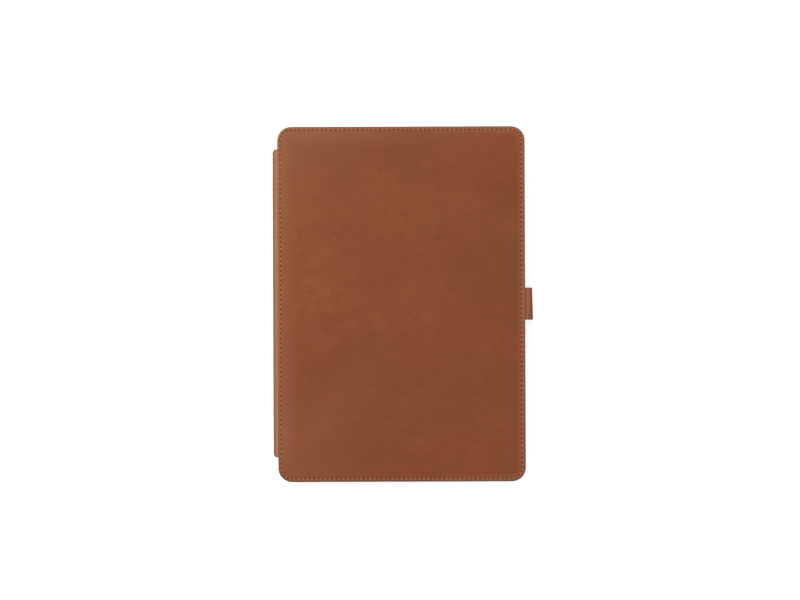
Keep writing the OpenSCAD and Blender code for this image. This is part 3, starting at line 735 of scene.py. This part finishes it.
def seam_places(width, height, corner, pitch_x, pitch_y):
    """Needle holes on a rounded rectangle, as (place, direction) pairs in order."""
    places = []
    straight = ((height - 2 * corner, pitch_y), (width - 2 * corner, pitch_x)) * 2
    turn = Vector((width / 2, -height / 2 + corner))
    heading = RIGHT_ANGLE
    for run, pitch in straight:
        along = unit_vector(heading)
        count = round(run / pitch)
        for i in range(count):
            places.append((turn + along * (run * i / count), heading))
        turn = turn + along * run
        centre = turn + Vector((-along.y, along.x)) * corner
        arc_count = round(corner * RIGHT_ANGLE / ((pitch_x + pitch_y) / 2))
        for i in range(arc_count):
            swing = RIGHT_ANGLE * i / arc_count
            out = unit_vector(heading - RIGHT_ANGLE + swing)
            places.append((centre + corner * out, heading + swing))
        heading += RIGHT_ANGLE
        turn = centre + corner * unit_vector(heading - RIGHT_ANGLE)
    return places


def bead_shape(rings):
    """A unit sphere of a few faces, to be copied for every stitch."""
    bm = bmesh.new()
    bmesh.ops.create_uvsphere(bm, u_segments=8, v_segments=rings, radius=1)
    return mesh_of("bead", bm)


def lay_bead(bm, shape, place, heading, size, turn):
    """Adds a bead, sized by its length, width and height, that lies along the heading."""
    matrix = Matrix.Translation(place) @ turn @ Matrix.Rotation(heading, 4, "Z")
    bead = shape.copy()
    bead.transform(matrix @ Matrix.Diagonal((*(side / 2 for side in size), 1)))
    bm.from_mesh(bead)
    bpy.data.meshes.remove(bead)


def sew(name, places, body, thread, hole, width, height_at, closed=True, turn=Matrix()):
    """Lays one stitch between each two needle holes, and lays a flat dark disc of painted shade on
    each hole.
    """
    stitches, holes = bmesh.new(), bmesh.new()
    stitch_shape, hole_shape = bead_shape(6), bead_shape(4)
    pairs = zip(places, places[1:] + places[:1]) if closed else zip(places, places[1:])
    for i, ((start, _), (end, _)) in enumerate(pairs):
        span = end - start
        sway = noise.noise(Vector((i * 0.7, 3.1, 0.0)))
        heading = math.atan2(span.y, span.x) + math.radians(5 + 4 * sway)
        size = (span.length * 0.58, width * (1 + 0.15 * sway), width * 0.62)
        lay_bead(stitches, stitch_shape, height_at((start + end) / 2), heading, size, turn)
    # Flat discs of painted shade stand in for the needle holes
    for place, heading in places:
        size = (width * 2.1, width * 1.75, width * 0.30)
        lay_bead(holes, hole_shape, height_at(place, 0.0), heading, size, turn)
    finish_piece(name + "_stitches", stitches, body, thread, sharp=80)
    finish_piece(name + "_needle_hole_shades", holes, body, hole, sharp=80)


# ---- Operators ----


class FOLIO_OT_covers(bpy.types.Operator):
    """Leather covers with rolled edges, a sewing groove and a slight crown"""

    bl_idname = "folio.covers"
    bl_label = "Leather covers"

    def cover(self, name, outer, base, sizes, material):
        """A cover made face up; outer is +1 for the front, and -1 turns the back one over."""
        board_top = FLANGE_HIGH.z - FLANGE_LOW.z
        waist = 0.6 * MM
        bm = bmesh.new()
        face = cover_outline(bm, waist, sizes.corner)
        rim = list(face.edges)
        dip = -sizes.groove / MM
        rolled = ((0.04, 1.05), (0.18, 1.46), (0.45, 1.80), (0.85, 2.03))
        beside_seam = (
            (-0.65, -0.03), (-0.45, -0.09), (-0.25, dip), (0.25, dip), (0.50, -0.08),
            (0.90, 0.0), (2.2, 0.05), (4.4, 0.07), (6.2, 0.08),
        )
        turned_under = ((0.05, 0.30), (0.2, 0.10), (0.5, 0.01), (1.0, 0.0))

        def metres(pairs, inward=0.0, height=0.0):
            return [(inward + x * MM, height + y * MM) for x, y in pairs]

        top = metres(rolled) + metres([(1.35, -0.05)], height=COVER_SIZE.z)
        top += metres(beside_seam, sizes.stitch_margin, COVER_SIZE.z)
        terrace(bm, face, waist, top)
        divide_field(bm, face)
        under = bmesh.ops.edgeloop_fill(bm, edges=rim)["faces"][0]
        if under.normal.z > 0:
            bmesh.ops.reverse_faces(bm, faces=[under])
        bottom = metres(turned_under) + [(1.02 * MM, board_top)]
        terrace(bm, under, waist, bottom, up=-1)
        for vert in bm.verts:
            self.settle(vert, sizes, board_top + 0.06 * MM, tab_side=outer > 0)
        bmesh.ops.scale(bm, verts=bm.verts, vec=(1, 1, outer))
        bmesh.ops.translate(bm, verts=bm.verts, vec=(0, 0, base))
        bmesh.ops.recalc_face_normals(bm, faces=bm.faces)
        finish_piece(name, bm, name, material, (name + "_leather",))

    def settle(self, vert, sizes, notch_height, tab_side):
        """Makes the leather slightly uneven, shifts its groove, and lifts it over sewn-in strips."""
        spot = vert.co.copy()
        inward = min(HALF_WIDTH - abs(spot.x), HALF_HEIGHT - abs(spot.y))
        hold = max(0.0, 1 - inward / (2.0 * MM))
        wave = abs(noise.noise(spot * 90) + 0.5 * noise.noise(spot * 310))
        vert.co.x -= math.copysign(1, spot.x) * sizes.edge_wave * hold * wave
        vert.co.y -= math.copysign(1, spot.y) * sizes.edge_wave * hold * wave
        if spot.z > 1.5 * MM:
            swell = 1.4 * min(1.0, inward / (12 * MM)) * noise.noise(spot * 38)
            vert.co.z += 0.4 * sizes.edge_wave * (noise.noise(spot * 140) + swell)
            rise = min(1.0, max(0.0, (inward - 0.7 * MM) / (0.8 * MM)))
            fall = min(1.0, max(0.0, (7.5 * MM - inward) / (3.5 * MM)))
            vert.co.x -= sizes.stitch_shift * rise * fall
        turned, room = 1.01 * MM, 0.4 * MM
        beside_spine = abs(spot.y - SPINE_LIFT) < SPINE_HIGH.y + room
        over_spine = spot.x < turned - HALF_WIDTH and beside_spine
        beside_tab = abs(spot.y) < TAB_HIGH.y + room
        over_tab = tab_side and spot.x > HALF_WIDTH - turned and beside_tab
        if (over_spine or over_tab) and spot.z < notch_height:
            vert.co.z = notch_height

    def execute(self, context):
        sizes = context.scene.folio_sizes
        material = cover_leather(context.scene.folio_colours, sizes)
        self.cover("front_cover", 1, COVER_LOW.z, sizes, material)
        self.cover("back_cover", -1, BACK_HIGH.z, sizes, material)
        paint(bookboard(), "front_cover_board", "back_cover_board")
        return {"FINISHED"}


class FOLIO_OT_stitching(bpy.types.Operator):
    """Saddle stitching round both covers and through the front lining"""

    bl_idname = "folio.stitching"
    bl_label = "Stitching"

    def execute(self, context):
        sizes = context.scene.folio_sizes
        colours = context.scene.folio_colours
        thread, hole = thread_fibre(colours), needle_shadow(colours)
        margin = sizes.stitch_margin
        places = seam_places(
            COVER_SIZE.x - 2 * margin, COVER_SIZE.y - 2 * margin, sizes.corner - margin,
            sizes.pitch_short, sizes.pitch_long,
        )
        faces = (
            ("front_cover", COVER_HIGH.z - sizes.groove, 1, "front_cover"),
            ("front_lining", LINING_LOW.z + 0.04 * MM, -1, "front_cover"),
            ("back_cover", BACK_LOW.z + sizes.groove, -1, "back_cover"),
        )
        for name, level, up, body in faces:
            def height_at(place, rise=0.1 * MM, level=level, up=up):
                return Vector((place.x - sizes.stitch_shift, place.y, level + rise * up))

            sew(name, places, body, thread, hole, sizes.thread, height_at)
        return {"FINISHED"}


class FOLIO_OT_spine(bpy.types.Operator):
    """Leather spine strip in two halves, each curved round the spine's fold at one of the hinges"""

    bl_idname = "folio.spine"
    bl_label = "Spine strip"

    def shape_ends(self, bm):
        """Rounds the strip's outer corners and makes its fold slightly uneven."""
        hinge_x = HINGES["spine_fold"]["pos_m"][0]
        corner = 1.3 * MM
        for vert in bm.verts:
            depth = abs(vert.co.y) - (SPINE_HIGH.y - corner)
            out = max(0.0, min(1.0, (hinge_x - vert.co.x) / (1.5 * MM)))
            vert.co.x += quarter(depth, corner) * 0.9 * out
            wave = noise.noise(Vector((vert.co.y * 45, vert.co.z * 90, 2.0)))
            vert.co.x += 0.07 * MM * out * wave

    def execute(self, context):
        sizes = context.scene.folio_sizes
        material = spine_leather(context.scene.folio_colours)
        thick = sizes.spine_leather
        radius = 2.2 * MM
        start_x = FLANGE_HIGH.x - 0.5 * MM
        turn_x = SPINE_LOW.x + radius
        hinge_run = 2.4 * MM
        to_hinge = turn_x + hinge_run - start_x
        meet = HINGES["spine_fold"]["pos_m"][2] + radius + 0.2 * MM
        halves = (
            ("spine_strip", "cover_fold", 1, 8, "spine", "front_cover",
             ("spine_leather", "spine_front_flange")),
            ("spine_strip_foot", "spine_fold", -1, 2, "back_cover", "spine", ("spine_back_flange",)),
        )
        for name, hinge, side, rows, first_body, second_body, replaced in halves:
            pivot = HINGES[hinge]["pos_m"]
            inner, outer = pivot[2] - side * thick / 2, pivot[2] + side * thick / 2
            turn_z = outer - side * radius
            bm = bmesh.new()
            sweep(
                bm, (start_x, 0, inner), (start_x, 0, outer),
                [
                    ("run", (to_hinge, 0, 0), 8),
                    ("run", (-hinge_run, 0, 0), 14),
                    ("turn", (turn_x, 0, turn_z), -side * RIGHT_ANGLE, 10),
                    ("run", (0, 0, meet - turn_z), rows),
                ],
            )
            widen(bm, SPINE_HIGH.y - SPINE_LOW.y, 110)
            self.shape_ends(bm)
            bmesh.ops.translate(bm, verts=bm.verts, vec=(0, SPINE_LIFT, 0))
            piece = finish_piece(name, bm, None, material, replaced)
            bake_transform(piece)
        return {"FINISHED"}


class FOLIO_OT_tab(bpy.types.Operator):
    """Closure tab that turns down over the side of the tray"""

    bl_idname = "folio.tab"
    bl_label = "Closure tab"

    def execute(self, context):
        sizes = context.scene.folio_sizes
        colours = context.scene.folio_colours
        top, under = ANCHOR_HIGH.z, ANCHOR_LOW.z
        bend = 2.6 * MM
        foot_round = 1.0 * MM
        magnet_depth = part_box("tab_lining")[1].x
        start_x = ANCHOR_LOW.x + 0.5 * MM
        crease_x = COVER_HIGH.x - 0.3 * MM
        turn_x = TAB_HIGH.x - bend
        bm = bmesh.new()
        sweep(
            bm, (start_x, 0, under), (start_x, 0, top),
            [
                ("run", (crease_x - start_x, 0, 0), 5),
                ("run", (turn_x - crease_x, 0, 0), 12),
                ("turn", (turn_x, 0, top - bend), RIGHT_ANGLE, 10),
                ("run", (0, 0, TAB_LOW.z - (top - bend)), 14),
            ],
        )
        wall = top - under
        for vert in bm.verts:
            above_bend = max(0.0, vert.co.z - (top - bend))
            reach = math.hypot(vert.co.x - turn_x, above_bend)
            if vert.co.x > turn_x and reach < bend - wall / 2:
                vert.co.x = min(vert.co.x, magnet_depth)
        width = TAB_HIGH.y - TAB_LOW.y
        widen(bm, width, 46)
        for vert in bm.verts:
            self.shape(vert, width, sizes.tab_corner, foot_round)
        piece = finish_piece(
            "closure_strap", bm, None, tab_leather(colours),
            ("closure_tab", "tab_anchor"),
        )
        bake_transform(piece)
        self.sew_flap(sizes, colours)
        return {"FINISHED"}

    def shape(self, vert, width, corner, foot_round):
        """Rounds the free end's corners and eases the strap's long edges."""
        side = abs(vert.co.y) - (width / 2 - corner)
        floor = TAB_LOW.z + quarter(side, corner)
        reach = max(0.0, 1 - (vert.co.z - TAB_LOW.z) / (5 * MM))
        vert.co.z += (floor - TAB_LOW.z) * reach
        edge_round = 0.5 * MM
        near_edge = abs(vert.co.y) - (width / 2 - edge_round)
        if near_edge > 0:
            ease = quarter(near_edge, edge_round) * 0.5
            on_outside = vert.co.x > TAB_HIGH.x - 0.4 * MM
            on_top = vert.co.z > ANCHOR_HIGH.z - 0.05 * MM
            vert.co.x -= ease if on_outside else 0
            vert.co.z -= ease if on_top else 0
        vert.co.x -= quarter(TAB_LOW.z + foot_round - vert.co.z, foot_round) * 0.5
        if vert.co.x > TAB_HIGH.x - 1.2 * MM:
            vert.co.x += self.skew(vert.co.y)

    def skew(self, along):
        """The flap stands prouder towards its lower end, as a hand-folded one does."""
        return 0.3 * MM * (0.8 - along / TAB_HIGH.y)

    def sew_flap(self, sizes, colours):
        """A row of stitches round the flap's outer face, and a tack on its fold."""
        inset = 1.9 * MM
        half = TAB_HIGH.y - inset
        low, high = TAB_LOW.z + inset, ANCHOR_LOW.z - 2.6 * MM
        pitch = 2.5 * MM
        tall, wide = high - low, 2 * half
        down, across = round(tall / pitch), round(wide / pitch)
        route = [(Vector((-half, high - tall * i / down)), -RIGHT_ANGLE) for i in range(down)]
        route += [(Vector((wide * i / across - half, low)), 0.0) for i in range(across)]
        route += [(Vector((half, low + tall * i / down)), RIGHT_ANGLE) for i in range(down + 1)]
        # Stands a bead laid flat in XY against the flap's face, which looks along +X
        upright = Matrix(((0, 0, 1, 0), (1, 0, 0, 0), (0, 1, 0, 0), (0, 0, 0, 1)))

        def on_face(place, rise=0.05 * MM):
            return Vector((TAB_HIGH.x + self.skew(place.x) + rise, place.x, place.y))

        def on_fold(place, rise=0.05 * MM):
            return Vector((place.x, place.y, ANCHOR_HIGH.z + rise))

        thread, hole = thread_fibre(colours), needle_shadow(colours)
        sew(
            "closure_strap", route, "closure_tab", thread, hole, sizes.thread * 0.8, on_face,
            closed=False, turn=upright,
        )
        tack_x = TAB_HIGH.x - 2.6 * MM
        tack = [(Vector((tack_x, y * MM)), -RIGHT_ANGLE) for y in (-10.3, -8.3)]
        sew(
            "closure_tack", tack, "closure_tab", thread, hole, sizes.thread * 0.7, on_fold,
            closed=False,
        )


class FOLIO_OT_linings(bpy.types.Operator):
    """Microfibre linings of the front cover, the spine and the closure tab"""

    bl_idname = "folio.linings"
    bl_label = "Linings"

    def execute(self, context):
        material = microfibre(context.scene.folio_colours)
        linings = {
            "front_cover_lining": "front_cover",
            "spine_lining": "spine",
            "tab_lining": "closure_tab",
        }
        for node, body in linings.items():
            bm = softened(node, 0.12 * MM)
            if node == "spine_lining":
                bmesh.ops.scale(bm, verts=bm.verts, vec=(1, 0.98, 1))
                bmesh.ops.translate(bm, verts=bm.verts, vec=(0, SPINE_LIFT, 0))
            finish_piece(node + "_cloth", bm, body, material, (node,), sharp=40)
        return {"FINISHED"}


class FOLIO_OT_tray(bpy.types.Operator):
    """Moulded tray that grips the reader, and the steel keeper in its side"""

    bl_idname = "folio.tray"
    bl_label = "Tray"

    def execute(self, context):
        plastic = moulded("tray_plastic", tuple(context.scene.reader_colours.tray), 0.55)
        mould("tray", "reader_tray", "back_cover", plastic, 0.25 * MM, 3)
        paint(brushed("keeper_steel", (0.55, 0.55, 0.56)), "closure_keeper")
        paint(brushed("magnet_nickel", (0.62, 0.60, 0.56), 0.18), "sleep_magnet", "tab_magnet")
        return {"FINISHED"}


class FOLIO_OT_reader_body(bpy.types.Operator):
    """Reader's rear shell and bezel, with moulded radii"""

    bl_idname = "folio.reader_body"
    bl_label = "Reader body"

    def execute(self, context):
        plastic = moulded("shell_plastic", tuple(context.scene.reader_colours.shell), 0.5)
        back_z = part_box("rear_shell")[0].z

        def at_back(edge):
            return all(v.co.z < back_z + 0.01 * MM for v in edge.verts)

        mould(
            "reader_shell", "rear_shell", "reader", plastic, 0.12 * MM,
            wide=(at_back, 1.1 * MM),
        )
        mould("reader_bezel", "front_bezel", "reader", plastic, 0.15 * MM)
        return {"FINISHED"}


class FOLIO_OT_controls(bpy.types.Operator):
    """Keys under the screen and the power button"""

    bl_idname = "folio.controls"
    bl_label = "Keys and button"

    def execute(self, context):
        tone = toned(context.scene.reader_colours.shell, 1.6)
        plastic = moulded("key_plastic", tone, 0.4, 3200, 0.15)
        for name in ("menu_key", "previous_key", "next_key", "home_key", "power_button"):
            mould(name + "_cap", name, name, plastic, 0.18 * MM, 3, sharp=45)
        return {"FINISHED"}


class FOLIO_OT_screen(bpy.types.Operator):
    """Electronic paper with its sleep picture, front light and touch glass"""

    bl_idname = "folio.screen"
    bl_label = "Screen"

    def execute(self, context):
        paint(sleep_picture(context.scene.reader_colours), "epaper_display")
        paint(clear_sheet("touch_glass", 0.10, 0.34), "touch_glass")
        paint(clear_sheet("light_guide", 0.06, 0.12), "light_guide", "status_light")
        paint(foam(), "touch_gasket")
        paint(light_strip(), "light_bar")
        return {"FINISHED"}


class FOLIO_OT_electronics(bpy.types.Operator):
    """Finishes of the boards, chips, battery, cables and screws inside the reader"""

    bl_idname = "folio.electronics"
    bl_label = "Electronics"

    def execute(self, context):
        paint(circuit_board(), "main_board", "usb_board", "key_board")
        paint(chip_epoxy(), "processor", "memory_chip", "storage_chip", "power_chip", "hall_sensor")
        paint(moulded("switch_plastic", (0.045, 0.045, 0.047), 0.4), "power_switch", "battery_lead")
        paint(battery_foil(), "battery")
        paint(moulded("tape_white", (0.62, 0.61, 0.58), 0.6, 1500), "battery_tape")
        paint(flex_film(), "display_cable", "touch_cable", "link_cable", "antenna")
        paint(brushed("midframe_metal", (0.40, 0.41, 0.42), 0.42), "midframe")
        steel = brushed("sheet_steel", (0.56, 0.57, 0.58))
        paint(steel, "radio_shield", "usb_socket", "key_domes", "midframe_screws", "board_screws")
        return {"FINISHED"}


class FOLIO_OT_stage(bpy.types.Operator):
    """Pale floor, soft studio light and a camera straight above the folio"""

    bl_idname = "folio.stage"
    bl_label = "Stage"

    def light(self, name, place, size, energy, tint):
        """A round soft light that faces the folio."""
        data = bpy.data.lights.new(name, "AREA")
        data.shape = "DISK"
        data.size = size
        data.energy = energy
        data.color = tint
        lamp = add_object(name, data)
        lamp.location = place
        lamp.rotation_mode = "QUATERNION"
        lamp.rotation_quaternion = Vector(place).to_track_quat("Z", "Y")
        lamp.visible_camera = False

    def floor(self):
        """A white floor that glows slightly, just under the back cover's stitches."""
        bm = bmesh.new()
        bmesh.ops.create_grid(bm, x_segments=1, y_segments=1, size=6)
        finish = Finish("floor_white", 0.1, Emission_Strength=0.66)
        tooth = finish.noise(40, 2)
        tone = finish.mix(tooth, (0.93, 0.93, 0.93), (0.95, 0.95, 0.95))
        finish.set(Base_Color=tone, Emission_Color=tone, Roughness=0.9 + tooth * 0.05)
        mesh = mesh_of("floor", bm)
        mesh.materials.append(finish.material)
        floor = add_object("floor", mesh)
        floor.location.z = BACK_LOW.z - 0.15 * MM

    def camera(self):
        """Looks straight down from so far that the cover fills a set share of the view's height."""
        view_shape, cover_share = 4 / 3, 0.5925
        distance = 3.0
        view_width = COVER_SIZE.y / cover_share * view_shape
        data = bpy.data.cameras.new("camera")
        data.lens = data.sensor_width * (distance - COVER_HIGH.z) / view_width
        camera = add_object("camera", data)
        camera.location = (-1.0 * MM, 2.95 * MM, distance)
        camera.rotation_euler = (0, 0, math.radians(-0.22))
        bpy.context.scene.camera = camera

    def execute(self, context):
        scene = context.scene
        scene.view_settings.view_transform = "Standard"
        world = bpy.data.worlds.new("studio")
        scene.world = world
        world.use_nodes = True
        background = world.node_tree.nodes["Background"]
        background.inputs["Color"].default_value = (1.0, 1.0, 1.0, 1)
        background.inputs["Strength"].default_value = 0.52
        self.light("key_light", (-0.80, 0.50, 1.0), 0.9, 12, (1.0, 0.99, 0.97))
        self.light("fill_light", (1.6, -0.9, 1.6), 2.0, 5, (0.97, 0.98, 1.0))
        self.floor()
        self.camera()
        return {"FINISHED"}


OPERATORS = (
    FOLIO_OT_stage,
    FOLIO_OT_covers,
    FOLIO_OT_stitching,
    FOLIO_OT_spine,
    FOLIO_OT_tab,
    FOLIO_OT_linings,
    FOLIO_OT_tray,
    FOLIO_OT_reader_body,
    FOLIO_OT_controls,
    FOLIO_OT_screen,
    FOLIO_OT_electronics,
)


class FOLIO_PT_sidebar(bpy.types.Panel):
    """Lists the folio's settings and the steps that make it"""

    bl_idname = "FOLIO_PT_sidebar"
    bl_label = "Leather folio e-reader"
    bl_space_type = "VIEW_3D"
    bl_region_type = "UI"
    bl_category = "Folio"

    def draw(self, context):
        for group in ("folio_sizes", "folio_colours", "reader_colours"):
            settings = getattr(context.scene, group)
            for name in settings.__annotations__:
                self.layout.prop(settings, name)
        for operator in OPERATORS:
            self.layout.operator(operator.bl_idname)


CLASSES = (FolioSizes, FolioColours, ReaderColours, *OPERATORS, FOLIO_PT_sidebar)


def register():
    for cls in CLASSES:
        bpy.utils.register_class(cls)
    bpy.types.Scene.folio_sizes = bpy.props.PointerProperty(type=FolioSizes)
    bpy.types.Scene.folio_colours = bpy.props.PointerProperty(type=FolioColours)
    bpy.types.Scene.reader_colours = bpy.props.PointerProperty(type=ReaderColours)


def unregister():
    del bpy.types.Scene.reader_colours
    del bpy.types.Scene.folio_colours
    del bpy.types.Scene.folio_sizes
    for cls in reversed(CLASSES):
        bpy.utils.unregister_class(cls)


def main():
    register()
    for operator in OPERATORS:
        group, step = operator.bl_idname.split(".")
        getattr(getattr(bpy.ops, group), step)()


if __name__ == "__main__":
    main()
